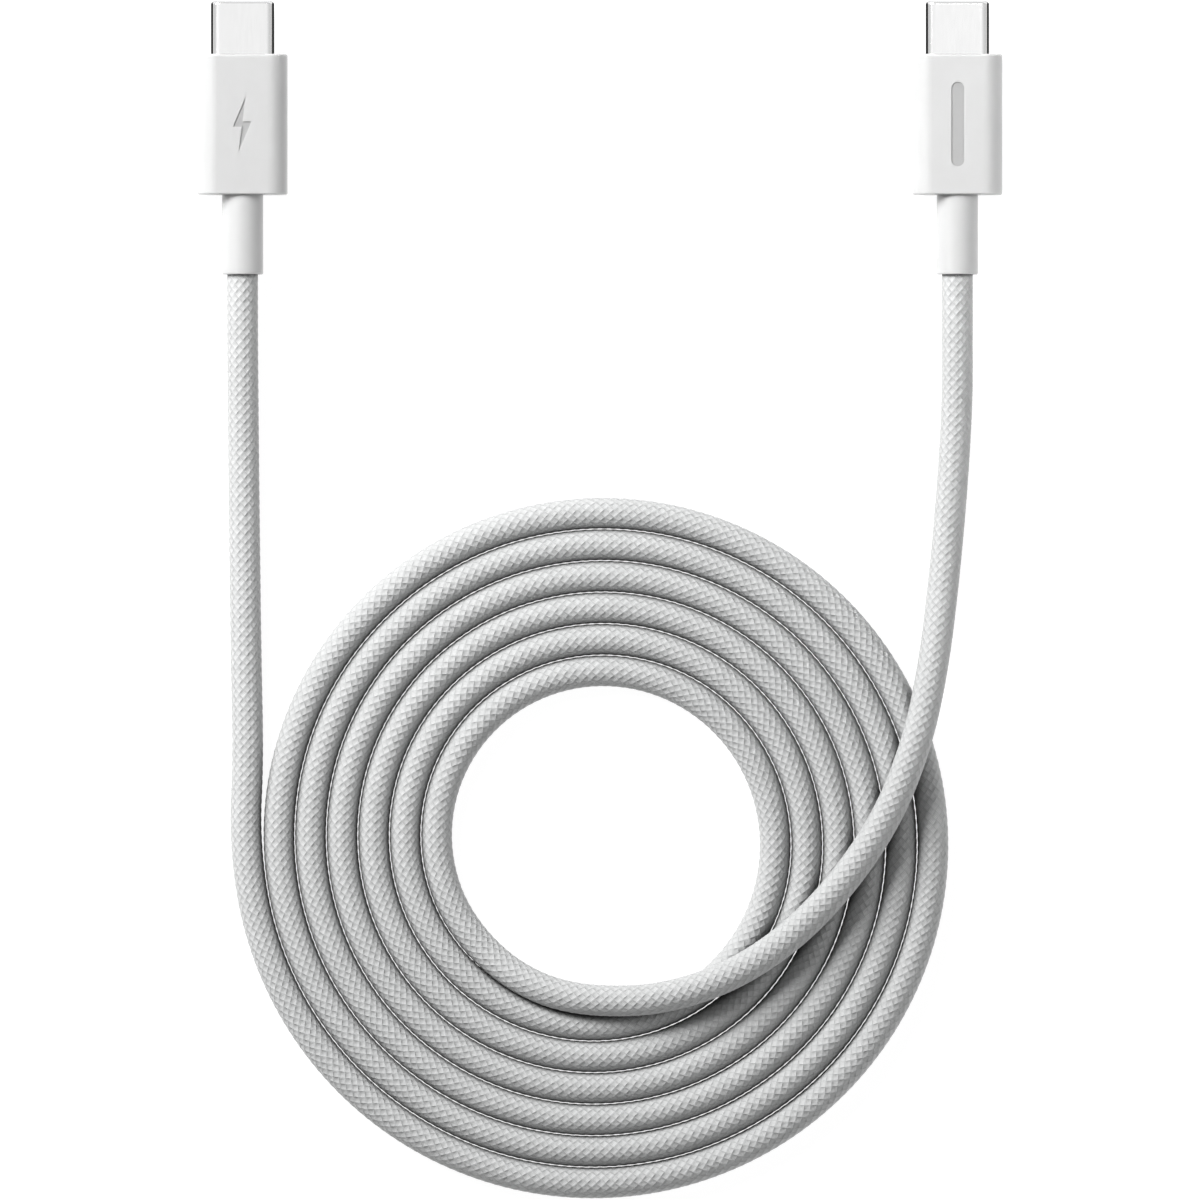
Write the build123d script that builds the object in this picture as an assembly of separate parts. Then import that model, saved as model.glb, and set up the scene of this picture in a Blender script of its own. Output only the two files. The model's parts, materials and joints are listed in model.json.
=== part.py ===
from build123d import *
import math
import os

# A USB-C to USB-C charging cable, lying flat. Two plugs lie side by side, tips towards +Y, and the cord
# between them is wound into a flat spiral coil. The origin is on the floor, midway between the plugs and
# midway along them. Sizes are in millimetres and degrees.

# Plugs
PLUG_SPACING = 93.34  # from one plug's axis to the other's
BODY_WIDTH = 11.74
BODY_THICKNESS = 6.4
BODY_LENGTH = 18.35
BODY_CORNER = 2.5
BODY_END_FILLET = 0.25
BODY_WALL = 0.6
MOULD_SIDE = 0.27  # thickness of the inner moulding beside the shield can
MOULD_TOP = 0.5  # and above it
FRONT_WALL = 1.2
BACK_WALL = 1.2
RELIEF_LENGTH = 10.4
RELIEF_DIAMETER = 5.4
RELIEF_END_FILLET = 0.2
NECK_STEP = 0.3  # how much the neck is smaller than the sleeve, all round
COLLAR_GAP = 0.05  # between the collar and the hollow's top
COLLAR_LENGTH = 0.8
FIT = 0.02  # clearance all round between pieces that fit one in another

# Engraved marks on the bodies: a bolt on plug a and a pill on plug b
MARK_DEPTH = 0.12
BOLT_OUTLINE = [(0.45, 3.6), (-1.2, -0.35), (-0.05, -0.35), (-0.45, -3.6), (1.2, 0.35), (0.05, 0.35)]
PILL_LENGTH = 11.0
PILL_WIDTH = 1.7

# Connector shell, of the standard outer size
SHELL_WIDTH = 8.25
SHELL_HEIGHT = 2.4
SHELL_WALL = 0.2
SHELL_EXPOSED = 6.9
SHELL_BURIED = 6.1
NOSE_RADIUS = 0.4
LIP_LENGTH = 0.35
LIP_SIDE = 0.475  # how far the rolled nose reaches in at each side of the mouth
LIP_TOP = 0.475  # and above and below it

# Contact carrier and contacts
INSULATOR_LENGTH = 11.25
NOSE_CLEARANCE = 0.05
SLOT_SIDE = 0.505  # thickness of the carrier beside the slot
SLOT_HEIGHT = 0.9
SLOT_DEPTH = 7.25
CONTACT_PITCH = 0.5
CONTACT_COUNT = 12  # positions in a row
UPPER_POSITIONS = (1, 4, 5, 6, 7, 9, 12)
LOWER_POSITIONS = (1, 4, 8, 9, 12)
CONTACT_WIDTH = 0.25
CONTACT_THICKNESS = 0.15
CONTACT_JOG = 0.15  # how far the contact steps away from the board's face
BEAM_LENGTH = 6.8
BEAM_STRAIGHT = 1.6
BEAM_TIP_LENGTH = 0.8
BEAM_TIP_RISE = 0.18
TONGUE_GAP = 0.48  # between the two rows, at their contact points
TAIL_LENGTH = 4.35
TAIL_FOOT_LENGTH = 3.2
ROOT_SETBACK = 2.15  # of the beams' and arms' roots from the carrier's back
ROOT_GAP = 0.05  # between a sprung piece and the fixed piece that it grows from
GROOVE_SIDE_GAP = 0.055
GROOVE_ROOM = 0.2  # above a beam's root
GROOVE_END_GAP = 0.3

# Latch
LATCH_THICKNESS = 0.3
LATCH_BASE_LENGTH = 1.0
LATCH_OVER_SLOT = 0.1  # how far the latch's outside lies outside the slot's side
ARM_WIDTH = 0.25
ARM_LENGTH = 8.45
HOOK_REACH = 0.2
HOOK_START = 6.75  # from the arm's root
HOOK_RISE = 0.3
HOOK_FLAT = 0.3
HOOK_FALL = 0.6
CHANNEL_HALF_HEIGHT = 0.25
CHANNEL_END_GAP = 0.4
CHANNEL_SIDE_GAP = 0.05

# Ground spring plates
SPRING_WIDTH = 5.0
SPRING_LENGTH = 1.6
SPRING_THICKNESS = 0.12
SPRING_SETBACK = 0.25  # from the carrier's front
SPRING_BORDER = 0.2
FINGER_WIDTH = 0.6
FINGER_PITCH = 1.2
FINGER_COUNT = 4
FINGER_LENGTH = 1.0
FINGER_REACH = 0.03  # into the slot, below its roof

# Board and what is on it
BOARD_THICKNESS = 0.7
BOARD_CORE_GAP = 0.7  # to the end of the cord's core
BOARD_SIDE_GAP = 0.4  # to the shield can's side
BOARD_SHOULDER_GAP = 0.35  # to the back of the shell
BOARD_NOSE_SIDE_GAP = 0.425  # to the inside of the shell
BOARD_NOSE_LENGTH = 1.15  # inside the shell
CHIP_SIZE = (3.0, 2.2, 0.75)
SMALL_PART_SIZE = (1.0, 0.5, 0.35)
SMALL_PART_PITCH = 1.6
SMALL_PART_COUNT = 4

# Shield can
CAN_WALL = 0.2
CAN_CORNER_STEP = 1.2  # how much smaller the can's corners are than those of the hollow round it
CAN_OVERLAP = 0.75  # over the back of the shell

# Cord end and conductors
JACKET_WALL = 0.6
CORE_EXPOSED = 0.7
FERRULE_WALL = 0.3
FERRULE_LENGTH = 1.4
WIRE_FAN_START = 0.6
WIRE_FAN_LENGTH = 1.2
WIRE_PAD_LENGTH = 1.5
WIRE_BEND = 0.6
POWER_WIRE = (0.45, -0.5, -2.6)  # radius, place across the core, place across the board
CC_WIRE = (0.25, 0.7, 2.4)
DATA_WIRES = ((0.2, 0.45, 1.6), (0.2, 0.95, 2.8))

# Cord and coil
CORD_DIAMETER = 4.0
COIL_CENTRE = (-0.25, -91.7)
COIL_RADIUS = 45.8  # of the cord's centreline where the outer turn begins
COIL_PITCH = 4.12
COIL_TURNS = 6.08
COIL_EDGE_SHARE = 0.475  # of the cord's diameter, which the coil's edges are rounded by
COIL_STEPS = 24  # points for each turn
ARC_SHARE = 0.45  # of the shorter run beside it that each arc of the cord takes
EXIT_RUN = 8.0  # the route's straight run out of each strain relief
CROSSING_GAP = 0.2  # between the cord and the turns that it lies over

# Places worked out from those
PLUG_LENGTH = RELIEF_LENGTH + BODY_LENGTH + SHELL_EXPOSED
RELIEF_END = -PLUG_LENGTH / 2
BODY_BACK = RELIEF_END + RELIEF_LENGTH
AXIS_HEIGHT = BODY_THICKNESS / 2
SHELL_TIP = BODY_LENGTH + SHELL_EXPOSED
SHELL_START = BODY_LENGTH - SHELL_BURIED
INSULATOR_END = SHELL_TIP - LIP_LENGTH - NOSE_CLEARANCE
INSULATOR_START = INSULATOR_END - INSULATOR_LENGTH
INSULATOR_TOP = SHELL_HEIGHT / 2 - SHELL_WALL - FIT
INSULATOR_WIDTH = SHELL_WIDTH - 2 * SHELL_WALL - 2 * FIT
SLOT_WIDTH = INSULATOR_WIDTH - 2 * SLOT_SIDE
ROOT = INSULATOR_START + ROOT_SETBACK  # where the contact beams and the latch arms begin
LATCH_HALF_WIDTH = SLOT_WIDTH / 2 + LATCH_OVER_SLOT
NECK_DIAMETER = RELIEF_DIAMETER - 2 * NECK_STEP
COLLAR_DIAMETER = BODY_THICKNESS - 2 * BODY_WALL - 2 * COLLAR_GAP
GRIP = BACK_WALL + COLLAR_LENGTH  # front of the strain relief's collar
CAN_WIDTH = BODY_WIDTH - 2 * BODY_WALL - 2 * MOULD_SIDE
CAN_HEIGHT = BODY_THICKNESS - 2 * BODY_WALL - 2 * MOULD_TOP
CAN_CORNER = BODY_CORNER - BODY_WALL - CAN_CORNER_STEP
CAN_START = GRIP + FERRULE_LENGTH
CAN_END = SHELL_START + CAN_OVERLAP
CORE_DIAMETER = CORD_DIAMETER - 2 * JACKET_WALL
BOARD_START = CAN_START + CORE_EXPOSED + BOARD_CORE_GAP
BOARD_WIDTH = CAN_WIDTH - 2 * CAN_WALL - 2 * BOARD_SIDE_GAP
BOARD_SHOULDER = SHELL_START - BOARD_SHOULDER_GAP
BOARD_NOSE_WIDTH = SHELL_WIDTH - 2 * SHELL_WALL - 2 * BOARD_NOSE_SIDE_GAP
BOARD_END = SHELL_START + BOARD_NOSE_LENGTH
WIRE_END = CAN_START + CORE_EXPOSED + WIRE_FAN_START + WIRE_FAN_LENGTH + WIRE_PAD_LENGTH
CHIP_CENTRE = (WIRE_END + ROOT - TAIL_LENGTH) / 2
CORD_REST = CORD_DIAMETER / 2  # height of the cord's centreline on the floor
CORD_OVER = 1.5 * CORD_DIAMETER + CROSSING_GAP  # and where it lies over one turn


def block(x_range, y_range, z_range):
    """A box between the given limits."""
    box = Box(x_range[1] - x_range[0], y_range[1] - y_range[0], z_range[1] - z_range[0])
    return Pos(sum(x_range) / 2, sum(y_range) / 2, sum(z_range) / 2) * box


def along(outline, start, end):
    """An outline centred on the plug's axis, drawn out along the plug from start to end."""
    plane = Plane(origin=(0, start, 0), x_dir=(1, 0, 0), z_dir=(0, 1, 0))
    return extrude(plane * outline, end - start)


def rod(radius, start, end):
    """A round rod on the plug's axis."""
    return along(Circle(radius), start, end)


def across(points, width):
    """A plate with its outline in the plane of the plug's length and height, centred across the plug."""
    face = make_face(Polyline(*points, close=True))
    return extrude(Plane.YZ * face, width / 2, both=True)


def flipped(piece):
    """The same piece on the underside of the plug's middle plane."""
    return mirror(piece, about=Plane.XY)


def end_edges(piece, end):
    """The edges of the piece's front (end 1) or back (end -1) face."""
    return piece.faces().sort_by(Axis.Y)[-1 if end > 0 else 0].edges()


def body_cavity(gap):
    """The hollow of the plug's body, made smaller all round by a gap."""
    shrink = 2 * (BODY_WALL + gap)
    outline = RectangleRounded(BODY_WIDTH - shrink, BODY_THICKNESS - shrink, BODY_CORNER - BODY_WALL - gap)
    return along(outline, BACK_WALL + gap, BODY_LENGTH - FRONT_WALL - gap)


def bolt_mark():
    return make_face(Polyline(*BOLT_OUTLINE, close=True))


def pill_mark():
    return Rot(0, 0, 90) * SlotOverall(PILL_LENGTH, PILL_WIDTH)


def overmould(mark):
    """The white body, hollow, with a shallow mark engraved in its top."""
    body = along(RectangleRounded(BODY_WIDTH, BODY_THICKNESS, BODY_CORNER), 0, BODY_LENGTH)
    body = fillet(end_edges(body, 1) + end_edges(body, -1), BODY_END_FILLET)
    body -= body_cavity(0)
    body -= along(SlotOverall(SHELL_WIDTH + 2 * FIT, SHELL_HEIGHT + 2 * FIT), SHELL_START, BODY_LENGTH)
    body -= rod(NECK_DIAMETER / 2 + FIT, 0, BACK_WALL)
    mark_place = Pos(0, BODY_LENGTH / 2, BODY_THICKNESS / 2 - MARK_DEPTH)
    return body - mark_place * extrude(mark, MARK_DEPTH)


def strain_relief():
    """The sleeve behind the body, with a neck through its back wall and a collar inside."""
    sleeve = rod(RELIEF_DIAMETER / 2, -RELIEF_LENGTH, 0)
    sleeve = fillet(end_edges(sleeve, -1), RELIEF_END_FILLET)
    sleeve += rod(NECK_DIAMETER / 2, 0, BACK_WALL + FIT)
    sleeve += rod(COLLAR_DIAMETER / 2, BACK_WALL + FIT, GRIP)
    return sleeve - rod(CORD_DIAMETER / 2 + FIT, -RELIEF_LENGTH, GRIP)


def cable_end():
    """The cord's end inside the strain relief and the body, with its jacket stripped off the core."""
    jacket = rod(CORD_DIAMETER / 2, -RELIEF_LENGTH, CAN_START - FIT)
    return jacket + rod(CORE_DIAMETER / 2, CAN_START - FIT, CAN_START + CORE_EXPOSED)


def crimp_ferrule():
    """The ring crimped round the end of the jacket."""
    ring = rod(CORD_DIAMETER / 2 + FERRULE_WALL, GRIP + FIT, CAN_START - FIT)
    return ring - rod(CORD_DIAMETER / 2 + FIT, GRIP + FIT, CAN_START - FIT)


def shell():
    """The drawn metal shell, with its nose rolled in round the mouth."""
    tube = along(SlotOverall(SHELL_WIDTH, SHELL_HEIGHT), SHELL_START, SHELL_TIP)
    tube = fillet(end_edges(tube, 1), NOSE_RADIUS)
    inside = SlotOverall(SHELL_WIDTH - 2 * SHELL_WALL, SHELL_HEIGHT - 2 * SHELL_WALL)
    tube -= along(inside, SHELL_START, SHELL_TIP - LIP_LENGTH)
    mouth = SlotOverall(SHELL_WIDTH - 2 * LIP_SIDE, SHELL_HEIGHT - 2 * LIP_TOP)
    return tube - along(mouth, SHELL_TIP - LIP_LENGTH, SHELL_TIP)


def contact_places(positions):
    """How far each contact of a row stands across the plug."""
    middle = (CONTACT_COUNT + 1) / 2
    return [(position - middle) * CONTACT_PITCH for position in positions]


def spread(piece, positions):
    """Copies of one piece at a row's contact positions."""
    return [Pos(place, 0, 0) * piece for place in contact_places(positions)]


def contact_beam():
    """One sprung beam: straight from its root, down to its contact point, and up again at the tip."""
    root_height = BOARD_THICKNESS / 2 + CONTACT_JOG
    start = ROOT + ROOT_GAP
    point = start + BEAM_LENGTH - BEAM_TIP_LENGTH
    low = [
        (start, root_height),
        (start + BEAM_STRAIGHT, root_height),
        (point, TONGUE_GAP / 2),
        (start + BEAM_LENGTH, TONGUE_GAP / 2 + BEAM_TIP_RISE),
    ]
    high = [(y, z + CONTACT_THICKNESS) for y, z in low]
    return across(low + high[::-1], CONTACT_WIDTH)


def contact_tail():
    """One fixed contact end, from its solder foot on the board to the root of its beam."""
    foot = BOARD_THICKNESS / 2
    start = ROOT - TAIL_LENGTH
    step = start + TAIL_FOOT_LENGTH
    low = [(start, foot), (step + CONTACT_THICKNESS, foot)]
    low += [(step + CONTACT_THICKNESS, foot + CONTACT_JOG), (ROOT, foot + CONTACT_JOG)]
    high = [(ROOT, foot + CONTACT_JOG + CONTACT_THICKNESS), (step, foot + CONTACT_JOG + CONTACT_THICKNESS)]
    high += [(step, foot + CONTACT_THICKNESS), (start, foot + CONTACT_THICKNESS)]
    return across(low + high, CONTACT_WIDTH)


def contact_groove():
    """The groove that one beam moves in."""
    half = CONTACT_WIDTH / 2 + GROOVE_SIDE_GAP
    top = BOARD_THICKNESS / 2 + CONTACT_JOG + CONTACT_THICKNESS + GROOVE_ROOM
    end = ROOT + ROOT_GAP + BEAM_LENGTH + GROOVE_END_GAP
    return block((-half, half), (ROOT, end), (SLOT_HEIGHT / 2, top))


def latch_base():
    """The cross piece that joins the latch arms."""
    half = LATCH_THICKNESS / 2
    start = ROOT - ROOT_GAP - LATCH_BASE_LENGTH
    return block((-LATCH_HALF_WIDTH, LATCH_HALF_WIDTH), (start, ROOT - ROOT_GAP), (-half, half))


def latch_arm(side):
    """One sprung arm, on the right (side 1) or the left (side -1), with a hook that faces the slot."""
    outer = LATCH_HALF_WIDTH
    inner = outer - ARM_WIDTH
    hook = ROOT + HOOK_START
    tip = ROOT + ARM_LENGTH
    points = [
        (inner, ROOT),
        (outer, ROOT),
        (outer, tip),
        (inner, tip),
        (inner, hook + HOOK_RISE + HOOK_FLAT + HOOK_FALL),
        (inner - HOOK_REACH, hook + HOOK_RISE + HOOK_FLAT),
        (inner - HOOK_REACH, hook + HOOK_RISE),
        (inner, hook),
    ]
    outline = make_face(Polyline(*[(side * x, y) for x, y in points], close=True))
    return extrude(outline, LATCH_THICKNESS / 2, both=True)


def latch_channel(side):
    """The side channel that a latch arm moves in, closed on the outside by the shell."""
    inner = LATCH_HALF_WIDTH - ARM_WIDTH - CHANNEL_SIDE_GAP
    reach = sorted((side * inner, side * SHELL_WIDTH / 2))
    heights = (-CHANNEL_HALF_HEIGHT, CHANNEL_HALF_HEIGHT)
    return block(reach, (ROOT - ROOT_GAP, ROOT + ARM_LENGTH + CHANNEL_END_GAP), heights)


def spring_window(low, high):
    """The opening that the ground spring's fingers reach through, between two heights."""
    half = SPRING_WIDTH / 2 - SPRING_BORDER
    end = INSULATOR_END - SPRING_SETBACK - SPRING_BORDER
    return block((-half, half), (end - SPRING_LENGTH + 2 * SPRING_BORDER, end), (low, high))


def spring_plate(grow):
    """The flat outline of a ground spring, made larger on each side by grow."""
    half = SPRING_WIDTH / 2 + grow
    end = INSULATOR_END - SPRING_SETBACK
    lengthwise = (end - SPRING_LENGTH - grow, end + grow)
    return block((-half, half), lengthwise, (INSULATOR_TOP - SPRING_THICKNESS, INSULATOR_TOP))


def ground_spring():
    """A spring plate in the carrier's top, with fingers that reach down to the slot."""
    root = INSULATOR_END - SPRING_SETBACK - SPRING_BORDER
    tip_height = SLOT_HEIGHT / 2 - FINGER_REACH
    low = [(root, INSULATOR_TOP - SPRING_THICKNESS), (root - FINGER_LENGTH, tip_height)]
    high = [(y, z + SPRING_THICKNESS) for y, z in low]
    finger = across(low + high[::-1], FINGER_WIDTH)
    spring = spring_plate(0) - spring_window(0, SHELL_HEIGHT)
    for number in range(FINGER_COUNT):
        spring += Pos((number - (FINGER_COUNT - 1) / 2) * FINGER_PITCH, 0, 0) * finger
    return spring


def insulator():
    """The contact carrier, with the slot, the grooves and the pockets of all that it holds."""
    carrier = along(SlotOverall(INSULATOR_WIDTH, 2 * INSULATOR_TOP), INSULATOR_START, INSULATOR_END)
    slot_sides = (-SLOT_WIDTH / 2, SLOT_WIDTH / 2)
    slot_heights = (-SLOT_HEIGHT / 2, SLOT_HEIGHT / 2)
    carrier -= block(slot_sides, (INSULATOR_END - SLOT_DEPTH, INSULATOR_END), slot_heights)
    carrier -= latch_channel(1)
    carrier -= latch_channel(-1)
    carrier -= latch_base()
    recess = spring_plate(FIT) + spring_window(0, INSULATOR_TOP)
    carrier -= recess
    carrier -= flipped(recess)
    for cut in (contact_groove(), contact_tail()):
        carrier -= spread(cut, UPPER_POSITIONS)
        carrier -= spread(flipped(cut), LOWER_POSITIONS)
    return carrier


def circuit_board():
    """The paddle card, with a narrow nose that goes into the shell."""
    heights = (-BOARD_THICKNESS / 2, BOARD_THICKNESS / 2)
    card = block((-BOARD_WIDTH / 2, BOARD_WIDTH / 2), (BOARD_START, BOARD_SHOULDER), heights)
    return card + block((-BOARD_NOSE_WIDTH / 2, BOARD_NOSE_WIDTH / 2), (BOARD_SHOULDER, BOARD_END), heights)


def marker_chip():
    """The chip on the board's upper face."""
    return Pos(0, CHIP_CENTRE, (BOARD_THICKNESS + CHIP_SIZE[2]) / 2) * Box(*CHIP_SIZE)


def board_parts():
    """The row of small resistors and capacitors on the board's lower face."""
    height = -(BOARD_THICKNESS + SMALL_PART_SIZE[2]) / 2
    middle = (SMALL_PART_COUNT - 1) / 2
    places = [(number - middle) * SMALL_PART_PITCH for number in range(SMALL_PART_COUNT)]
    return [Pos(place, CHIP_CENTRE, height) * Box(*SMALL_PART_SIZE) for place in places]


def can_envelope(gap):
    """The outside of the closed shield can, made larger all round by a gap."""
    outline = RectangleRounded(CAN_WIDTH + 2 * gap, CAN_HEIGHT + 2 * gap, CAN_CORNER + gap)
    return along(outline, CAN_START - gap, CAN_END + gap)


def shield_can():
    """The upper half of the shield can round the board."""
    hollow = RectangleRounded(CAN_WIDTH - 2 * CAN_WALL, CAN_HEIGHT - 2 * CAN_WALL, CAN_CORNER - CAN_WALL)
    can = can_envelope(0) - along(hollow, CAN_START + CAN_WALL, CAN_END - CAN_WALL)
    can -= rod(CORE_DIAMETER / 2 + FIT, CAN_START, CAN_START + CAN_WALL)
    can -= along(SlotOverall(SHELL_WIDTH + 2 * FIT, SHELL_HEIGHT + 2 * FIT), SHELL_START, CAN_END)
    return can & block((-CAN_WIDTH, CAN_WIDTH), (0, BODY_LENGTH), (0, CAN_HEIGHT))


def wire(radius, core_place, board_place, side):
    """One conductor, from the core's end to its pad on the board's upper or lower face (side 1 or -1)."""
    height = side * (BOARD_THICKNESS / 2 + radius)
    start = CAN_START + CORE_EXPOSED
    fan = start + WIRE_FAN_START
    pad = fan + WIRE_FAN_LENGTH
    points = [(core_place, start, height), (core_place, fan, height)]
    points += [(board_place, pad, height), (board_place, pad + WIRE_PAD_LENGTH, height)]
    path = FilletPolyline(*points, radius=WIRE_BEND)
    return sweep(Plane(origin=points[0], z_dir=(0, 1, 0)) * Circle(radius), path=path)


def inner_mould():
    """The moulding that fills the body round the shield can, the shell and the cord's end."""
    filling = body_cavity(FIT) - can_envelope(FIT)
    filling -= along(SlotOverall(SHELL_WIDTH + 2 * FIT, SHELL_HEIGHT + 2 * FIT), SHELL_START, BODY_LENGTH)
    filling -= rod(COLLAR_DIAMETER / 2 + FIT, 0, GRIP + FIT)
    return filling - rod(CORD_DIAMETER / 2 + FERRULE_WALL + FIT, 0, CAN_START)


def plug_pieces(mark):
    """Every piece of one plug by name, with the plug's axis on Y and its body's back face at 0."""
    beam = contact_beam()
    tail = contact_tail()
    return {
        "overmould": overmould(mark),
        "strain_relief": strain_relief(),
        "shell": shell(),
        "insulator": insulator(),
        "contact_beams_upper": spread(beam, UPPER_POSITIONS),
        "contact_beams_lower": spread(flipped(beam), LOWER_POSITIONS),
        "contact_tails_upper": spread(tail, UPPER_POSITIONS),
        "contact_tails_lower": spread(flipped(tail), LOWER_POSITIONS),
        "latch_base": latch_base(),
        "latch_arm_left": latch_arm(-1),
        "latch_arm_right": latch_arm(1),
        "ground_spring_upper": ground_spring(),
        "ground_spring_lower": flipped(ground_spring()),
        "circuit_board": circuit_board(),
        "marker_chip": marker_chip(),
        "board_parts": board_parts(),
        "shield_can_upper": shield_can(),
        "shield_can_lower": flipped(shield_can()),
        "wire_power": wire(*POWER_WIRE, 1),
        "wire_ground": wire(*POWER_WIRE, -1),
        "wire_cc": wire(*CC_WIRE, 1),
        "wires_data": [wire(*data_wire, -1) for data_wire in DATA_WIRES],
        "cable_end": cable_end(),
        "crimp_ferrule": crimp_ferrule(),
        "inner_mould": inner_mould(),
    }


def spiral(turns, shift):
    """A point on the coil's spiral, turned inwards from its left side, moved out by shift."""
    angle = math.pi * (1 + 2 * turns)
    radius = COIL_RADIUS - COIL_PITCH * turns + shift
    return (COIL_CENTRE[0] + radius * math.cos(angle), COIL_CENTRE[1] + radius * math.sin(angle))


def spiral_face(first_turn, shift):
    """The face inside one turn of the spiral, closed by a straight step."""
    points = [spiral(first_turn + step / COIL_STEPS, shift) for step in range(COIL_STEPS + 1)]
    return make_face([Spline(*points), Line(points[-1], points[0])])


def cord_coil():
    """The outer shape of the wound turns, which lie side by side."""
    flat = spiral_face(0, CORD_DIAMETER / 2) - spiral_face(COIL_TURNS - 1, -CORD_DIAMETER / 2)
    coil = extrude(flat, CORD_DIAMETER)
    long_edges = coil.edges().filter_by(Plane.XY).filter_by(GeomType.BSPLINE)
    return fillet(long_edges, COIL_EDGE_SHARE * CORD_DIAMETER)


def lead_route():
    """The cord from plug a down to the start of the coil's outer turn."""
    plug = -PLUG_SPACING / 2
    end_x, end_y = spiral(0, 0)
    return [
        (plug, RELIEF_END, AXIS_HEIGHT),
        (plug, RELIEF_END - EXIT_RUN, AXIS_HEIGHT),
        (-46.58, -38.4, CORD_REST),
        (-46.42, -53.0, CORD_REST),
        (-46.3, -68.2, CORD_REST),
        (-46.12, -81.0, CORD_REST),
        (end_x, end_y, CORD_REST),
    ]


def crossing_route():
    """The cord from the coil's inner end, up over all the turns and out to plug b."""
    corner = 1 / math.cos(math.pi / COIL_STEPS)
    end_radius = (COIL_RADIUS - COIL_PITCH * COIL_TURNS) * corner
    end_angle = math.pi * (1 + 2 * COIL_TURNS)
    centre_x, centre_y = COIL_CENTRE
    start_x = centre_x + end_radius * math.cos(end_angle)
    start_y = centre_y + end_radius * math.sin(end_angle)
    plug = PLUG_SPACING / 2
    return [
        (start_x, start_y, CORD_REST),
        (-15.25, -106.1, CORD_REST + 0.1),
        (-11.0, -109.55, CORD_REST + 1.0),
        (-5.85, -111.85, CORD_REST + 1.9),
        (0.15, -112.75, CORD_REST + 2.7),
        (7.95, -112.45, CORD_REST + 3.8),
        (16.75, -109.7, CORD_OVER),
        (25.05, -104.3, CORD_OVER),
        (32.05, -96.9, CORD_OVER),
        (37.75, -88.3, CORD_OVER),
        (41.45, -78.7, CORD_OVER + 0.2),
        (43.55, -68.9, CORD_REST + 2.6),
        (44.95, -57.7, CORD_REST + 0.5),
        (46.0, -46.1, CORD_REST),
        (plug + 0.03, -34.7, CORD_REST + 0.15),
        (plug, RELIEF_END - EXIT_RUN, AXIS_HEIGHT),
        (plug, RELIEF_END, AXIS_HEIGHT),
    ]


def corner_radii(points):
    """The radius of each arc of a route, from the shorter run beside it and the turn there."""
    radii = []
    for before, corner, after in zip(points, points[1:], points[2:]):
        run_in = Vector(*corner) - Vector(*before)
        run_out = Vector(*after) - Vector(*corner)
        half_turn = math.radians(run_in.get_angle(run_out)) / 2
        radii.append(ARC_SHARE * min(run_in.length, run_out.length) / math.tan(half_turn))
    return radii


def cord_tube(name, points):
    """A plain tube along a route of straight runs joined by tangent arcs."""
    radii = corner_radii(points)
    path = FilletPolyline(*points, radius=radii)
    outline = Circle(CORD_DIAMETER / 2)
    tube = sweep(Plane(origin=points[0], z_dir=path % 0) * outline, path=path)
    share = tube.volume / (outline.area * path.length)
    print(f"{name}: {path.length:.1f} long, volume over section times length {share:.4f}")
    print("  radii", " ".join(f"{radius:.0f}" for radius in radii))
    return tube


def write(name, piece):
    """Writes one node; a list of pieces is a group of separate solids."""
    if isinstance(piece, list):
        piece = Compound(children=piece)
    export_step(piece, f"parts/{name}.step")


os.makedirs("parts", exist_ok=True)
for plug_name, plug_x, plug_mark in (
    ("plug_a", -PLUG_SPACING / 2, bolt_mark()),
    ("plug_b", PLUG_SPACING / 2, pill_mark()),
):
    place = Pos(plug_x, BODY_BACK, AXIS_HEIGHT)
    for piece_name, plug_piece in plug_pieces(plug_mark).items():
        if isinstance(plug_piece, list):
            write(f"{plug_name}_{piece_name}", [place * single for single in plug_piece])
        else:
            write(f"{plug_name}_{piece_name}", place * plug_piece)
write("cord_lead", cord_tube("cord_lead", lead_route()))
write("cord_coil", cord_coil())
write("cord_crossing", cord_tube("cord_crossing", crossing_route()))
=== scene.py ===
import json
import math

import bpy
import numpy as np
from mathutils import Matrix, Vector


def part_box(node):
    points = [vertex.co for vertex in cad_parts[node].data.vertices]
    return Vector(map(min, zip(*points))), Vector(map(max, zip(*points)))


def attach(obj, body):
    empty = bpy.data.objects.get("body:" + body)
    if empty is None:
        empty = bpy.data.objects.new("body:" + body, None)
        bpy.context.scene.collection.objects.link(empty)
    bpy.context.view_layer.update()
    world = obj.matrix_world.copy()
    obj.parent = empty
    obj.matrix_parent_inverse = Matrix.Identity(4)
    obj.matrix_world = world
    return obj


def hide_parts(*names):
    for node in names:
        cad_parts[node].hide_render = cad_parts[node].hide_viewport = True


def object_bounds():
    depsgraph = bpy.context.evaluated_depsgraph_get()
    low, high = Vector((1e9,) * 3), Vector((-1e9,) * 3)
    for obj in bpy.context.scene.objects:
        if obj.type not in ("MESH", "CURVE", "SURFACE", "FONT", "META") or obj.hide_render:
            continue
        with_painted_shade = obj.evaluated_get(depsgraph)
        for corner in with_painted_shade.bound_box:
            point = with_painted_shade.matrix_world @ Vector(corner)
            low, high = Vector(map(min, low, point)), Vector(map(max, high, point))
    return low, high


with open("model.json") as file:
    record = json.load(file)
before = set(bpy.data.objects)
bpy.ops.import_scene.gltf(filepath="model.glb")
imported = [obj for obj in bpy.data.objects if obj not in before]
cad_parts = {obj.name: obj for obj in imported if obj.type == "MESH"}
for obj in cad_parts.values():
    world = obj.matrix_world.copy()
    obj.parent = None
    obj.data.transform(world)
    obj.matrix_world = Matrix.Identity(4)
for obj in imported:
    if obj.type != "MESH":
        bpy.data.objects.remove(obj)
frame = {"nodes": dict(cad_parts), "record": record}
cad_low, cad_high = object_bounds()

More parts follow.
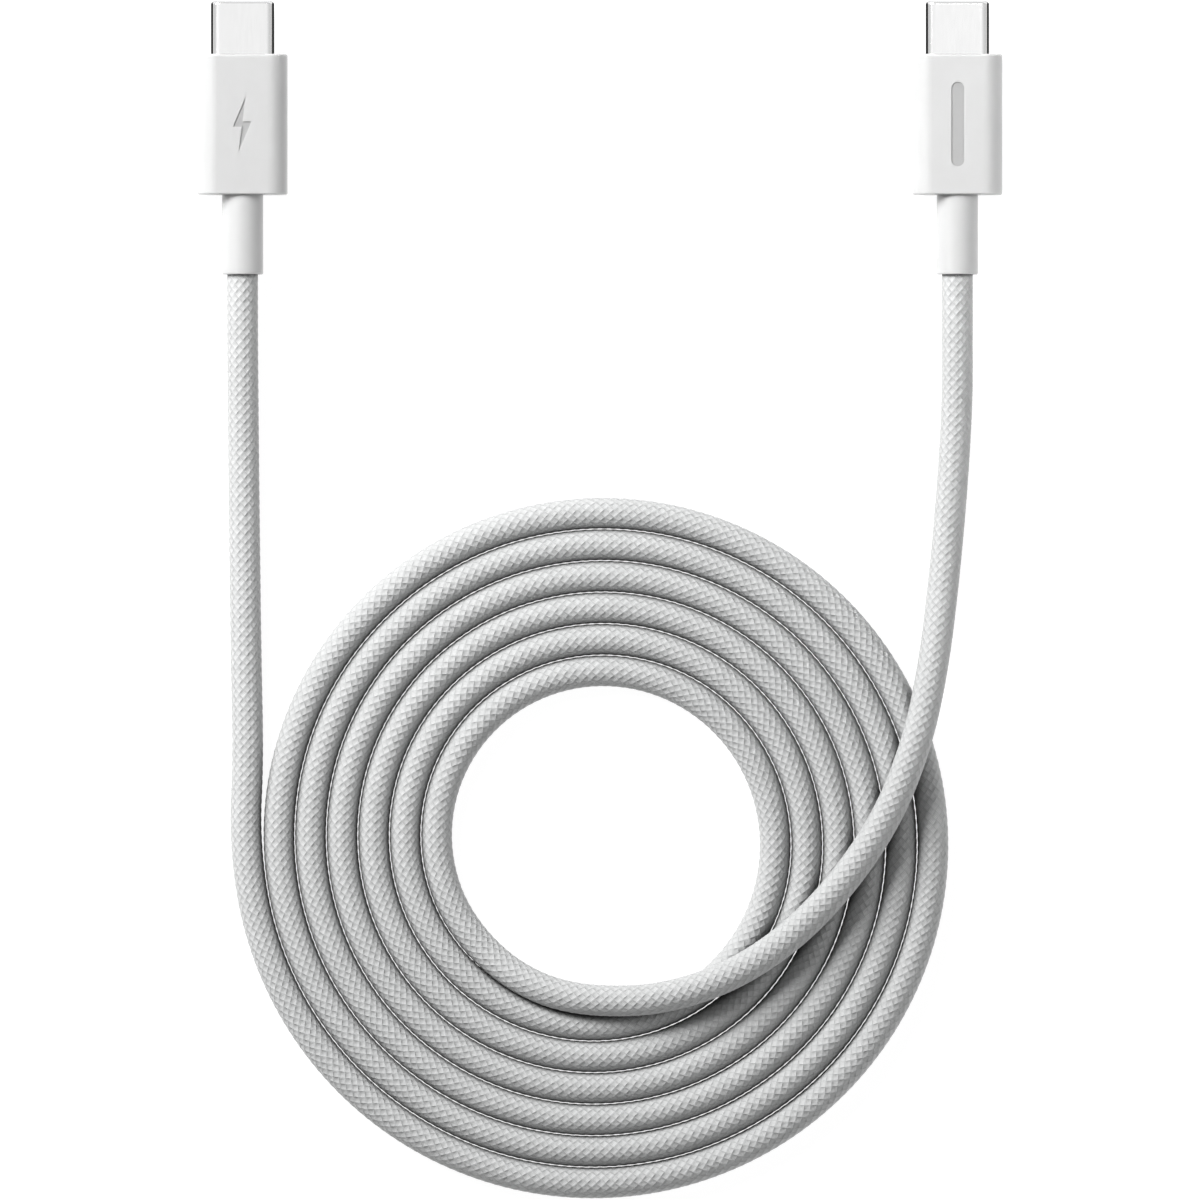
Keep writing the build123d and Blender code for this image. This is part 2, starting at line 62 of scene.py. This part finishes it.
# The braided cord. Lengths are in metres.
MM = 0.001
CORD_DIAMETER = 4.0 * MM
STRAND_DEPTH = 0.06 * MM  # of the grooves between strands
STRAND_SHOULDER = 0.4  # how much of its height a strand loses at its sides
CROWN_RADIUS = 2.03 * MM  # of the strands' tops, which stand a little proud of the cord's own size
STRANDS_EACH_WAY = 12
YARNS = 4  # filament bundles side by side in a strand
BRAID_PITCH = 14.6 * MM  # along the cord, for one turn of a strand round it
CELL_STEPS = 4  # mesh faces across one strand
BAKE_STRIPS = 11  # strips that the cord's surface is laid out in for a baked texture
BAKE_MARGIN = 2  # mesh steps left free round each strip

# The coil: a flat spiral that starts at its left side and turns inwards
COIL_CENTRE = (-0.25 * MM, -91.7 * MM)
COIL_RADIUS = 45.8 * MM
COIL_PITCH = 4.12 * MM
COIL_TURNS = 6.08
COIL_STEPS = 24
ROUTE_STEPS = 40  # points read from the spline in each of its spans

# The cord's own points, from plug a to the coil and from the coil's inner end to plug b
LEAD_ROUTE = [
    (-0.04667, -0.017825, 0.0032),
    (-0.04667, -0.025825, 0.0032),
    (-0.04658, -0.0384, 0.002),
    (-0.04642, -0.053, 0.002),
    (-0.04622, -0.0682, 0.002),
    (-0.04594, -0.081, 0.002),
]
CROSSING_ROUTE = [
    (-0.01525, -0.1061, 0.0021),
    (-0.011, -0.10955, 0.003),
    (-0.00585, -0.11185, 0.0039),
    (0.00015, -0.11275, 0.0047),
    (0.00795, -0.11245, 0.0058),
    (0.01675, -0.1097, 0.0062),
    (0.02505, -0.1043, 0.0062),
    (0.03205, -0.0969, 0.0062),
    (0.03775, -0.0883, 0.0062),
    (0.04145, -0.0787, 0.0064),
    (0.04355, -0.0689, 0.0046),
    (0.04495, -0.0577, 0.0025),
    (0.046, -0.0461, 0.002),
    (0.0467, -0.0347, 0.00215),
    (0.04667, -0.025825, 0.0032),
    (0.04667, -0.017825, 0.0032),
]

# The engraved marks: heights just under and over their floors, and how far they reach from a plug's axis
PLUG_X = 46.67 * MM
MARK_FLOOR_LOW = 6.2 * MM
MARK_FLOOR_HIGH = 6.36 * MM
MARK_REACH = 3.0 * MM

# The braid's material
BRAID_BUMP = 0.16 * MM
YARN_GROOVE = 0.08  # the depth of the groove between two yarns, as a share of the bump
YARN_SHADE_SHARE = 0.35  # of the painted shade in the groove between two yarns
BRAID_PAINTED_SHADE_REACH = 2.5 * MM  # how far off another surface still paints shade on the braid

# The plastics' and metals' materials: noise scales, and how far painted shade reaches into the plastics'
# crevices and how dark it is
CLOUD_SCALE = 260.0
GRAIN_SCALE = 2500.0
DRAWN_LINE_SCALE = 900.0
PLASTIC_PAINTED_SHADE_REACH = 0.6 * MM
PLASTIC_CREVICE_SHADE = 0.45

# The steel shell gets a painted dark reflection where its surface turns this far sideways
SHELL_PAINTED_DARK_FROM = 0.68
SHELL_PAINTED_DARK_TO = 0.8

# The surround's grey level by height, from the horizon (0) to straight above (1)
LIGHTING_LEVELS = [(0.0, 1.0), (0.09, 0.85), (0.18, 0.2), (1.0, 0.2)]
REFLECTED_LEVELS = [(0.0, 0.9), (0.12, 0.62), (0.6, 0.7), (0.95, 1.0)]

FLOOR_REACH = 4.0
FLOOR_OWN_LIGHT = 0.95

# The view: a long lens straight above
VIEW_WIDTH = 156.7 * MM
LENS = 600.0
SENSOR = 36.0


# --- the cord -------------------------------------------------------------------------------------------


def coil_point(turns):
    """A control point of the coil, on the polygon drawn round its spiral."""
    angle = math.pi * (1 + 2 * turns)
    radius = (COIL_RADIUS - COIL_PITCH * turns) / math.cos(math.pi / COIL_STEPS)
    x, y = COIL_CENTRE
    return (x + radius * math.cos(angle), y + radius * math.sin(angle), CORD_DIAMETER / 2)


def cord_route():
    """All the control points of the cord's spline."""
    whole_steps = int(COIL_TURNS * COIL_STEPS)
    coil = [coil_point(step / COIL_STEPS) for step in range(whole_steps + 1)]
    return LEAD_ROUTE + coil + [coil_point(COIL_TURNS)] + CROSSING_ROUTE


def spline_line(points):
    """The points that Blender reads along a NURBS spline with those control points."""
    curve = bpy.data.curves.new("route", "CURVE")
    curve.dimensions = "3D"
    spline = curve.splines.new("NURBS")
    spline.points.add(len(points) - 1)
    for control, place in zip(spline.points, points):
        control.co = (*place, 1)
    spline.order_u = 3
    spline.use_endpoint_u = True
    spline.resolution_u = ROUTE_STEPS
    bare = bpy.data.objects.new("route", curve)
    mesh = bpy.data.meshes.new_from_object(bare)
    line = np.array([vertex.co for vertex in mesh.vertices], float)
    bpy.data.meshes.remove(mesh)
    bpy.data.objects.remove(bare)
    bpy.data.curves.remove(curve)
    return line


def evenly_spaced(line, step):
    """The line again with equal steps of about that length, and the whole length."""
    along = np.concatenate([[0], np.cumsum(np.linalg.norm(np.diff(line, axis=0), axis=1))])
    places = np.linspace(0, along[-1], round(along[-1] / step) + 1)
    return np.stack([np.interp(places, along, line[:, axis]) for axis in range(3)], axis=1), along[-1]


def carried_frames(line):
    """Two directions square to the line at each point, carried along it without twist."""
    ahead = np.gradient(line, axis=0)
    ahead /= np.linalg.norm(ahead, axis=1, keepdims=True)
    up = np.zeros_like(line)
    current = np.array([0.0, 0.0, 1.0])
    for row, tangent in enumerate(ahead):
        current = current - tangent * (current @ tangent)
        current /= np.linalg.norm(current)
        up[row] = current
    return np.cross(ahead, up), up


def strand_places(p, q, p_cell, q_cell):
    """Where points lie on the strand that is on top in their cell of the one-over-one braid.

    p and q count the cells along the two ways that the strands run. Returns how far across and along
    the strand's cell each point is, from 0 to 1, and whether the strand is a right-hand one.
    """
    right = (p_cell + q_cell) % 2 == 0
    across = np.where(right, p - p_cell, q - q_cell)
    along = np.where(right, q - q_cell, p - p_cell)
    return across, along, right


def strand_height(across, along):
    """How high the top strand stands: 1 on its crown, less at its sides, 0 where it dives under the next."""
    crown = 1 - STRAND_SHOULDER * np.abs(2 * across - 1) ** 3
    arch = np.sin(np.pi * np.clip(along, 0, 1))
    return crown * arch


def lattice(rows, per_row, shift):
    """The row and column of each point of a lattice whose rows are offset in turn."""
    row = np.repeat(np.arange(rows), per_row)
    column = 2 * np.tile(np.arange(per_row), rows) + (row + shift) % 2
    return row, column


def cell_places(row, column):
    """How many of the braid's cells lattice points are along the two ways that the strands run."""
    return (column - row) / (2 * CELL_STEPS), (column + row) / (2 * CELL_STEPS)


def cord_surface(line, row, column, columns):
    """Points on the cord's surface, high on the strands and low between them."""
    p, q = cell_places(row, column)
    # A vertex between two cells takes the mean of their heights
    after = strand_height(*strand_places(p, q, np.floor(p), np.floor(q))[:2])
    before = strand_height(*strand_places(p, q, np.ceil(p) - 1, np.ceil(q) - 1)[:2])
    height = (after + before) / 2
    radius = CROWN_RADIUS - STRAND_DEPTH * (1 - height)
    side, up = carried_frames(line)
    angle = 2 * np.pi * column / columns
    outwards = np.cos(angle)[:, None] * side[row] + np.sin(angle)[:, None] * up[row]
    return line[row] + radius[:, None] * outwards


def cord_faces(last, per_row):
    """The faces of the cord's side: each corner, the middle of each corner's face, and corners per face.

    Corners and middles are lattice columns and rows, counted without wrapping round the cord. A face
    has four corners round its middle, or three at the cord's two ends.
    """
    row, column = lattice(last + 1, per_row, 1)
    middles = np.stack([column, row], axis=1)
    around = middles[:, None, :] + np.array([(-1, 0), (0, -1), (1, 0), (0, 1)])
    inside = (row > 0) & (row < last)
    groups = [(inside, [0, 1, 2, 3]), (row == 0, [0, 2, 3]), (row == last, [0, 1, 2])]
    corners = np.concatenate([around[pick][:, kept].reshape(-1, 2) for pick, kept in groups])
    owners = np.concatenate([np.repeat(middles[pick], len(kept), axis=0) for pick, kept in groups])
    sides = np.concatenate([np.full(np.count_nonzero(pick), len(kept)) for pick, kept in groups])
    return corners, owners, sides


def strand_map(corners, middles):
    """Each corner's strand, as its number plus how far across it is, and how far along that strand."""
    p, q = cell_places(corners[:, 1], corners[:, 0])
    p_cell, q_cell = np.floor(cell_places(middles[:, 1], middles[:, 0]))
    across, _, right = strand_places(p, q, p_cell, q_cell)
    number = np.where(right, p_cell, q_cell) % STRANDS_EACH_WAY + np.where(right, 0, STRANDS_EACH_WAY)
    return number + across, np.where(right, q, p)


def bake_map(corners, middles, rows, columns):
    """The cord's side laid out in strips, one above the other, with a margin round each."""
    rows_per_strip = math.ceil(rows / BAKE_STRIPS)
    strip = middles[:, 1] // rows_per_strip
    along = (corners[:, 1] - strip * rows_per_strip + BAKE_MARGIN) / (rows_per_strip + 2 * BAKE_MARGIN)
    around = (corners[:, 0] + BAKE_MARGIN) / (columns + 2 * BAKE_MARGIN)
    return along, (strip + around) / BAKE_STRIPS


def smooth_mesh(name, places, corner_vertices, face_corners):
    """A smooth mesh from its vertices, its faces' corners in turn and how many corners each face has."""
    mesh = bpy.data.meshes.new(name)
    mesh.vertices.add(len(places))
    mesh.vertices.foreach_set("co", places.astype(np.float32).ravel())
    mesh.loops.add(len(corner_vertices))
    mesh.loops.foreach_set("vertex_index", corner_vertices.astype(np.int32))
    mesh.polygons.add(len(face_corners))
    starts = np.concatenate([[0], np.cumsum(face_corners)[:-1]])
    mesh.polygons.foreach_set("loop_start", starts.astype(np.int32))
    mesh.update(calc_edges=True)
    mesh.shade_smooth()
    return mesh


def braided_cord():
    """The cord as one mesh with its braid's strands standing out of it, its centre line and its length."""
    columns = 2 * STRANDS_EACH_WAY * CELL_STEPS
    per_row = columns // 2
    line, length = evenly_spaced(spline_line(cord_route()), BRAID_PITCH / columns)
    last = len(line) - 1
    places = cord_surface(line, *lattice(last + 1, per_row, 0), columns)

    corners, middles, face_corners = cord_faces(last, per_row)
    corner_vertices = corners[:, 1] * per_row + (corners[:, 0] % columns) // 2
    rings = [np.arange(per_row)[::-1], last * per_row + np.arange(per_row)]
    corner_vertices = np.concatenate([corner_vertices, *rings])
    face_corners = np.concatenate([face_corners, [per_row, per_row]])
    mesh = smooth_mesh("braided_cord", places, corner_vertices, face_corners)
    write_uv(mesh, "Strand", *strand_map(corners, middles))
    write_uv(mesh, "OFBake", *bake_map(corners, middles, last + 1, columns))

    cord = bpy.data.objects.new("braided_cord", mesh)
    bpy.context.scene.collection.objects.link(cord)
    return cord, line, length


def write_uv(mesh, name, u, v):
    """A UV map; the cord's two end faces, which come last, keep their corners at 0."""
    values = np.zeros((len(mesh.loops), 2), np.float32)
    values[: len(u), 0] = u
    values[: len(v), 1] = v
    layer = mesh.uv_layers.new(name=name)
    layer.data.foreach_set("uv", values.ravel())


# --- materials ------------------------------------------------------------------------------------------


def add(tree, kind, inputs=None, **settings):
    """A new node with its settings; an input is a value, or a socket to link from."""
    made = tree.nodes.new(kind)
    for key, value in settings.items():
        setattr(made, key, value)
    for key, value in (inputs or {}).items():
        if isinstance(value, bpy.types.NodeSocket):
            tree.links.new(value, made.inputs[key])
        else:
            made.inputs[key].default_value = value
    return made


def maths(tree, operation, *values):
    """The result of a Math node."""
    return add(tree, "ShaderNodeMath", dict(enumerate(values)), operation=operation).outputs[0]


def mixed(tree, share, first, second):
    """A colour between two others."""
    inputs = {"Factor": share, 6: first, 7: second}
    return add(tree, "ShaderNodeMix", inputs, data_type="RGBA").outputs[2]


def new_material(name, **constants):
    """A material, its node tree and its shader, with constants set on the shader's own sockets."""
    made = bpy.data.materials.new(name)
    made.use_nodes = True
    shader = made.node_tree.nodes["Principled BSDF"]
    for key, value in constants.items():
        shader.inputs[key.replace("_", " ")].default_value = value
    return made, made.node_tree, shader


def link(tree, source, shader, key):
    """Links a socket to one of the shader's."""
    tree.links.new(source, shader.inputs[key])


def object_noise(tree, scale, stretch=(1, 1, 1)):
    """Noise in the object's own space."""
    place = add(tree, "ShaderNodeTexCoord").outputs["Object"]
    stretched = add(tree, "ShaderNodeMapping", {"Vector": place, "Scale": stretch}).outputs[0]
    return add(tree, "ShaderNodeTexNoise", {"Vector": stretched, "Scale": scale, "Detail": 4.0}).outputs[0]


def ranged(tree, value, low, high):
    """A value from 0 to 1 turned into one from low to high."""
    return add(tree, "ShaderNodeMapRange", {"Value": value, "To Min": low, "To Max": high}).outputs[0]


def smooth_step(tree, value, low, high):
    """A value turned into 0 at low and under, and 1 at high and over, with a smooth rise between."""
    inputs = {"Value": value, "From Min": low, "From Max": high}
    return add(tree, "ShaderNodeMapRange", inputs, interpolation_type="SMOOTHSTEP").outputs[0]


def bumped(tree, shader, height, distance):
    """A bump in the shader's surface, as high as distance where height is 1."""
    inputs = {"Height": height, "Distance": distance}
    link(tree, add(tree, "ShaderNodeBump", inputs).outputs[0], shader, "Normal")


def openness(tree, distance, low, high):
    """How open a surface is, from 0 in a crevice to 1 where nothing is near it; materials paint shade by it.
    """
    seen = add(tree, "ShaderNodeAmbientOcclusion", {"Distance": distance}, samples=8).outputs["AO"]
    return smooth_step(tree, seen, low, high)


def painted_over(made, share, colour):
    """Mixes another colour into a material's own, by that share."""
    tree = made.node_tree
    shader = tree.nodes["Principled BSDF"]
    own = shader.inputs["Base Color"].links[0].from_socket
    link(tree, mixed(tree, share, own, colour), shader, "Base Color")


def grey(level, tint=1.0):
    """A neutral colour, very slightly cool when the tint is over 1."""
    return (level, level * tint, level * tint, 1)


def engraved_plastic(name, dark, light, roughness, recess, **constants):
    """The body's plastic, with the floor of the engraved marks in a greyer colour."""
    made = plastic(name, dark, light, roughness, **constants)
    tree = made.node_tree
    place = add(tree, "ShaderNodeTexCoord").outputs["Object"]
    parts = add(tree, "ShaderNodeSeparateXYZ", {0: place})
    low = maths(tree, "GREATER_THAN", parts.outputs[2], MARK_FLOOR_LOW)
    high = maths(tree, "LESS_THAN", parts.outputs[2], MARK_FLOOR_HIGH)
    beside = maths(tree, "COMPARE", maths(tree, "ABSOLUTE", parts.outputs[0]), PLUG_X, MARK_REACH)
    painted_over(made, maths(tree, "MULTIPLY", maths(tree, "MULTIPLY", low, high), beside), recess)
    return made


def plastic(name, dark, light, roughness, **constants):
    """Moulded plastic with a fine spark-eroded grain and slightly cloudy colour, with painted shade in
    crevices.
    """
    made, tree, shader = new_material(name, **constants)
    cloud = mixed(tree, object_noise(tree, CLOUD_SCALE), dark, light)
    # Painted shade: the colour turns to a darker copy of itself where other surfaces are near
    shade = tuple(PLASTIC_CREVICE_SHADE * level for level in dark[:3]) + (1,)
    with_painted_shade = mixed(tree, openness(tree, PLASTIC_PAINTED_SHADE_REACH, 0.0, 0.9), shade, cloud)
    link(tree, with_painted_shade, shader, "Base Color")
    fine = object_noise(tree, GRAIN_SCALE)
    link(tree, ranged(tree, fine, roughness - 0.05, roughness + 0.05), shader, "Roughness")
    bumped(tree, shader, fine, 0.004 * MM)
    return made


def metal(name, dark, light, roughness, **constants):
    """Drawn or stamped metal, with fine lines along the plug."""
    made, tree, shader = new_material(name, Metallic=1.0, **constants)
    lines = object_noise(tree, DRAWN_LINE_SCALE, stretch=(12, 0.6, 12))
    link(tree, mixed(tree, lines, dark, light), shader, "Base Color")
    link(tree, ranged(tree, lines, roughness - 0.06, roughness + 0.06), shader, "Roughness")
    bumped(tree, shader, lines, 0.001 * MM)
    return made


def shell_metal():
    """Polished steel, with a painted dark reflection round its sides."""
    made = metal("steel_shell", grey(0.82), grey(0.9), 0.16, Specular_Tint=grey(0.1))
    tree = made.node_tree
    # Painted dark reflection on the steel's sides, where its normal turns sideways
    facing = add(tree, "ShaderNodeTexCoord").outputs["Normal"]
    sideways = maths(tree, "ABSOLUTE", add(tree, "ShaderNodeSeparateXYZ", {0: facing}).outputs[0])
    painted_over(made, smooth_step(tree, sideways, SHELL_PAINTED_DARK_FROM, SHELL_PAINTED_DARK_TO), grey(0.04))
    return made


def braid():
    """The cord's white yarn: strands of fine yarns, with painted shade where they dive, in the grooves
    between yarns and where turns touch.
    """
    made, tree, shader = new_material("cord_braid", Specular_IOR_Level=0.35, Sheen_Weight=0.1)
    strand = add(tree, "ShaderNodeUVMap", uv_map="Strand").outputs[0]
    parts = add(tree, "ShaderNodeSeparateXYZ", {0: strand})
    across, along = parts.outputs[0], parts.outputs[1]

    arch = maths(tree, "ABSOLUTE", maths(tree, "SINE", maths(tree, "MULTIPLY", along, math.pi)))
    edge = maths(tree, "ABSOLUTE", maths(tree, "COSINE", maths(tree, "MULTIPLY", across, math.pi)))
    crown = maths(tree, "MULTIPLY_ADD", maths(tree, "POWER", edge, 3.0), -0.5, 1.0)
    shape = maths(tree, "MULTIPLY", maths(tree, "POWER", arch, 0.8), crown)
    turns = maths(tree, "MULTIPLY", across, 2 * math.pi * YARNS)
    yarn_gap = maths(tree, "MULTIPLY_ADD", maths(tree, "COSINE", turns), 0.5, 0.5)

    cell = add(tree, "ShaderNodeVectorMath", {0: strand}, operation="FLOOR").outputs[0]
    chance = add(tree, "ShaderNodeTexWhiteNoise", {"Vector": cell}, noise_dimensions="2D").outputs["Value"]
    place = add(tree, "ShaderNodeCombineXYZ", {0: maths(tree, "MULTIPLY", across, 9.0), 1: along}).outputs[0]
    streak = add(tree, "ShaderNodeTexNoise", {"Vector": place, "Scale": 1.0, "Detail": 3.0}).outputs[0]
    blend = maths(tree, "MULTIPLY_ADD", chance, 0.4, maths(tree, "MULTIPLY", streak, 0.6))
    yarn = mixed(tree, blend, grey(0.43, 1.012), grey(0.54, 1.008))
    # Painted shade in the grooves between yarns
    yarn_groove_shaded = mixed(tree, maths(tree, "MULTIPLY", yarn_gap, YARN_SHADE_SHARE), yarn, grey(0.24, 1.01))
    # Painted shade where a strand dives under the next one
    dive_shade = add(tree, "ShaderNodeMapRange", {"Value": shape, "From Max": 0.3}).outputs[0]
    dive_shaded = mixed(tree, dive_shade, grey(0.36, 1.02), yarn_groove_shaded)
    # Painted shade, almost black, where turns touch and in other crevices
    with_painted_shade = mixed(tree, openness(tree, BRAID_PAINTED_SHADE_REACH, 0.05, 0.85), grey(0.015), dive_shaded)
    link(tree, with_painted_shade, shader, "Base Color")
    link(tree, ranged(tree, streak, 0.5, 0.75), shader, "Roughness")

    relief = maths(tree, "MULTIPLY_ADD", yarn_gap, -YARN_GROOVE, shape)
    bumped(tree, shader, relief, BRAID_BUMP)
    return made


def slot_materials():
    """The material of each of the record's slots."""
    body_gloss = {
        "Coat_Weight": 0.2,
        "Coat_Roughness": 0.15,
        "Subsurface_Weight": 0.7,
        "Subsurface_Scale": 1.0 * MM,
        "Subsurface_Radius": (1, 1, 1),
    }
    body = engraved_plastic("white_body", grey(0.47), grey(0.49, 1.003), 0.3, grey(0.34), **body_gloss)
    return {
        "white_body": body,
        "steel_shell": shell_metal(),
        "black_carrier": plastic("black_carrier", grey(0.012), grey(0.03), 0.42),
        "contact_metal": metal("contact_metal", (0.78, 0.52, 0.16, 1), (0.95, 0.7, 0.28, 1), 0.22),
        "spring_steel": metal("spring_steel", grey(0.45), grey(0.62), 0.28),
        "board": plastic("board", (0.005, 0.07, 0.025, 1), (0.01, 0.14, 0.05, 1), 0.35),
        "chip": plastic("chip", grey(0.01), grey(0.03), 0.5),
        "can_steel": metal("can_steel", grey(0.5), grey(0.66), 0.34),
        "red_wire": plastic("red_wire", (0.4, 0.01, 0.01, 1), (0.6, 0.02, 0.015, 1), 0.35),
        "black_wire": plastic("black_wire", grey(0.01), grey(0.025), 0.35),
        "blue_wire": plastic("blue_wire", (0.01, 0.03, 0.3, 1), (0.02, 0.06, 0.45, 1), 0.35),
        "green_wire": plastic("green_wire", (0.01, 0.2, 0.04, 1), (0.02, 0.32, 0.08, 1), 0.35),
        "cord_braid": plastic("cord_jacket", grey(0.4), grey(0.5), 0.6),
        "inner_plastic": plastic("inner_plastic", grey(0.55), grey(0.66), 0.45),
    }


def dress_cad_nodes(materials):
    """Gives every carried-over CAD node its slot's material."""
    for row in frame["record"]["subparts"]:
        mesh = frame["nodes"][row["node"]].data
        mesh.materials.clear()
        mesh.materials.append(materials[row["material_slot"]])


# --- stage ----------------------------------------------------------------------------------------------


def floor():
    """A plain white floor with light of its own, so that shadows on it are faint."""
    mesh = bpy.data.meshes.new("floor")
    corners = [(FLOOR_REACH * x, FLOOR_REACH * y, 0) for x, y in [(-1, -1), (1, -1), (1, 1), (-1, 1)]]
    mesh.from_pydata(corners, [], [(0, 1, 2, 3)])
    plane = bpy.data.objects.new("floor", mesh)
    bpy.context.scene.collection.objects.link(plane)
    glow = {"Emission_Color": grey(1.0), "Emission_Strength": FLOOR_OWN_LIGHT}
    made = new_material("floor", Base_Color=grey(0.15), Roughness=0.9, Specular_IOR_Level=0.1, **glow)[0]
    mesh.materials.append(made)


def area_light(name, place, target, size, power, spread):
    """A square softbox at place, turned to the target; its beam is spread over that angle in degrees."""
    data = bpy.data.lights.new(name, "AREA")
    data.size = size
    data.energy = power
    data.spread = math.radians(spread)
    light = bpy.data.objects.new(name, data)
    light.location = place
    away = np.array(place) - np.array(target)
    turn = math.atan2(away[0], -away[1])
    tilt = math.atan2(math.hypot(away[0], away[1]), away[2])
    light.rotation_euler = (tilt, 0, turn)
    bpy.context.scene.collection.objects.link(light)


def softbox(name, centre, distance, azimuth, elevation, size, strength, spread=180):
    """A softbox at a bearing and an elevation in degrees.

    Strength is the light that it gives a face turned to it, before a narrow spread gathers its beam.
    """
    bearing, rise = math.radians(azimuth), math.radians(elevation)
    flat = distance * math.cos(rise)
    x = centre[0] + flat * math.cos(bearing)
    y = centre[1] + flat * math.sin(bearing)
    power = strength * math.pi**2 * distance**2
    area_light(name, (x, y, distance * math.sin(rise)), (*centre, 0), size, power, spread)


def level_ramp(tree, value, stops):
    """Grey levels at places along a value."""
    ramp = add(tree, "ShaderNodeValToRGB", {0: value})
    while len(ramp.color_ramp.elements) < len(stops):
        ramp.color_ramp.elements.new(0.5)
    for element, (position, level) in zip(ramp.color_ramp.elements, stops):
        element.position = position
        element.color = grey(level)
    return ramp.outputs[0]


def surround():
    """A pale tent that lights the object from low down, and that its surfaces reflect as brighter above."""
    world = bpy.data.worlds.new("surround")
    world.use_nodes = True
    tree = world.node_tree
    place = add(tree, "ShaderNodeTexCoord").outputs["Generated"]
    rise = add(tree, "ShaderNodeSeparateXYZ", {0: place}).outputs[2]
    lighting = level_ramp(tree, rise, LIGHTING_LEVELS)
    reflected = level_ramp(tree, rise, REFLECTED_LEVELS)
    mirrored = add(tree, "ShaderNodeLightPath").outputs["Is Glossy Ray"]
    tent = mixed(tree, mirrored, lighting, reflected)
    tree.links.new(tent, tree.nodes["Background"].inputs["Color"])
    bpy.context.scene.world = world


def studio(centre):
    """A large softbox from the upper left, a faint one from the right and a narrow one on plug b."""
    softbox("key", centre, distance=0.6, azimuth=137, elevation=38, size=0.3, strength=1.85)
    softbox("fill", centre, distance=0.9, azimuth=-20, elevation=14, size=0.5, strength=0.25)
    plug_b = (PLUG_X, 0.0)
    softbox("top", plug_b, distance=0.3, azimuth=60, elevation=65, size=0.06, strength=0.014, spread=30)
    surround()


def camera(centre, height):
    """Straight above the object, and VIEW_WIDTH across at that height, with the plugs' tips at the top."""
    data = bpy.data.cameras.new("camera")
    data.lens = LENS
    data.sensor_width = SENSOR
    view = bpy.data.objects.new("camera", data)
    view.location = (*centre, height + VIEW_WIDTH * LENS / SENSOR)
    bpy.context.scene.collection.objects.link(view)
    bpy.context.scene.camera = view


# --- the scene ------------------------------------------------------------------------------------------

cord, cord_line, cord_length = braided_cord()
cord.data.materials.append(braid())
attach(cord, "root")
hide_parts("cord_lead", "cord_coil", "cord_crossing")
print("cord length", round(cord_length, 4), "faces", len(cord.data.polygons))

dress_cad_nodes(slot_materials())
shell_low, shell_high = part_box("plug_a_shell")
middle = ((cad_low.x + cad_high.x) / 2, (cad_low.y + cad_high.y) / 2)
floor()
studio(middle)
camera(middle, (shell_low.z + shell_high.z) / 2)
bpy.context.scene.view_settings.view_transform = "Standard"
